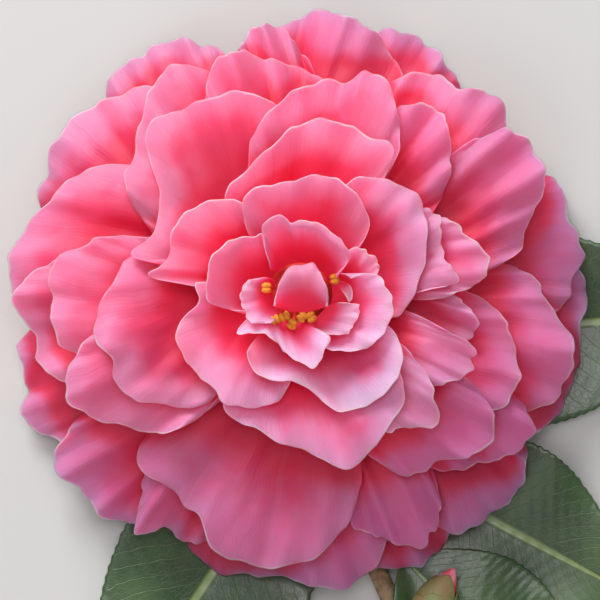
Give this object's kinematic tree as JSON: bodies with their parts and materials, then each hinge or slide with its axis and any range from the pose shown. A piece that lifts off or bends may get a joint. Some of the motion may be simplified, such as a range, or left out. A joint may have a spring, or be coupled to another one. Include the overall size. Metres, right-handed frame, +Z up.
{
  "type": "cut camellia bloom with twig and leaves",
  "caption": "Double pink camellia bloom, cut with a short leafy twig and a small bud, lying face up with its petals spread.",
  "frame": {"origin": "centre of the whole part's box, on the surface that the bloom lies on", "axes": "+Z up out of the bloom's face; +Y towards the bloom's upper edge as the picture shows it, the twig's cut end points towards -Y; +X to the right"},
  "size_m": [0.1356, 0.141, 0.0456],
  "materials": {
    "outer_petal": "satin, thin and translucent",
    "inner_petal": "satin, thin and translucent",
    "stamen": "matte, powdery",
    "receptacle": "matte",
    "sepal": "silky matte",
    "leaf": "waxy gloss",
    "bark": "dull bark"
  },
  "bodies": {
    "root": {"twig": "bark", "leaf_1": "leaf", "leaf_2": "leaf", "leaf_3": "leaf", "leaf_4": "leaf", "bud": "sepal", "calyx": "sepal", "receptacle": "receptacle", "stamens": "stamen", "back_petal_1": "outer_petal", "back_petal_2": "outer_petal", "back_petal_3": "outer_petal", "back_petal_4": "outer_petal", "back_petal_5": "outer_petal", "back_petal_6": "outer_petal", "back_petal_7": "outer_petal", "back_petal_8": "outer_petal", "back_petal_9": "outer_petal", "back_petal_10": "outer_petal", "back_petal_11": "outer_petal", "back_petal_12": "outer_petal", "back_petal_13": "outer_petal", "outer_petal_1": "outer_petal", "outer_petal_2": "outer_petal", "outer_petal_3": "outer_petal", "outer_petal_4": "outer_petal", "outer_petal_5": "outer_petal", "outer_petal_6": "outer_petal", "outer_petal_7": "outer_petal", "outer_petal_8": "outer_petal", "outer_petal_9": "outer_petal", "outer_petal_10": "outer_petal", "middle_petal_1": "inner_petal", "middle_petal_2": "inner_petal", "middle_petal_3": "inner_petal", "middle_petal_4": "inner_petal", "middle_petal_5": "inner_petal", "middle_petal_6": "inner_petal", "middle_petal_7": "inner_petal", "middle_petal_8": "inner_petal", "inner_petal_1": "inner_petal", "inner_petal_2": "inner_petal", "inner_petal_3": "inner_petal", "inner_petal_4": "inner_petal", "inner_petal_5": "inner_petal", "inner_petal_6": "inner_petal", "inner_petal_7": "inner_petal", "inner_petal_8": "inner_petal", "inner_petal_9": "inner_petal", "inner_petal_10": "inner_petal", "cup_petal_1": "inner_petal", "cup_petal_2": "inner_petal", "cup_petal_3": "inner_petal", "cup_petal_4": "inner_petal", "cup_petal_5": "inner_petal", "cup_petal_6": "inner_petal", "heart_petal_1": "inner_petal", "heart_petal_2": "inner_petal", "heart_petal_3": "inner_petal", "tongue_petal": "inner_petal"}
  },
  "joints": []
}
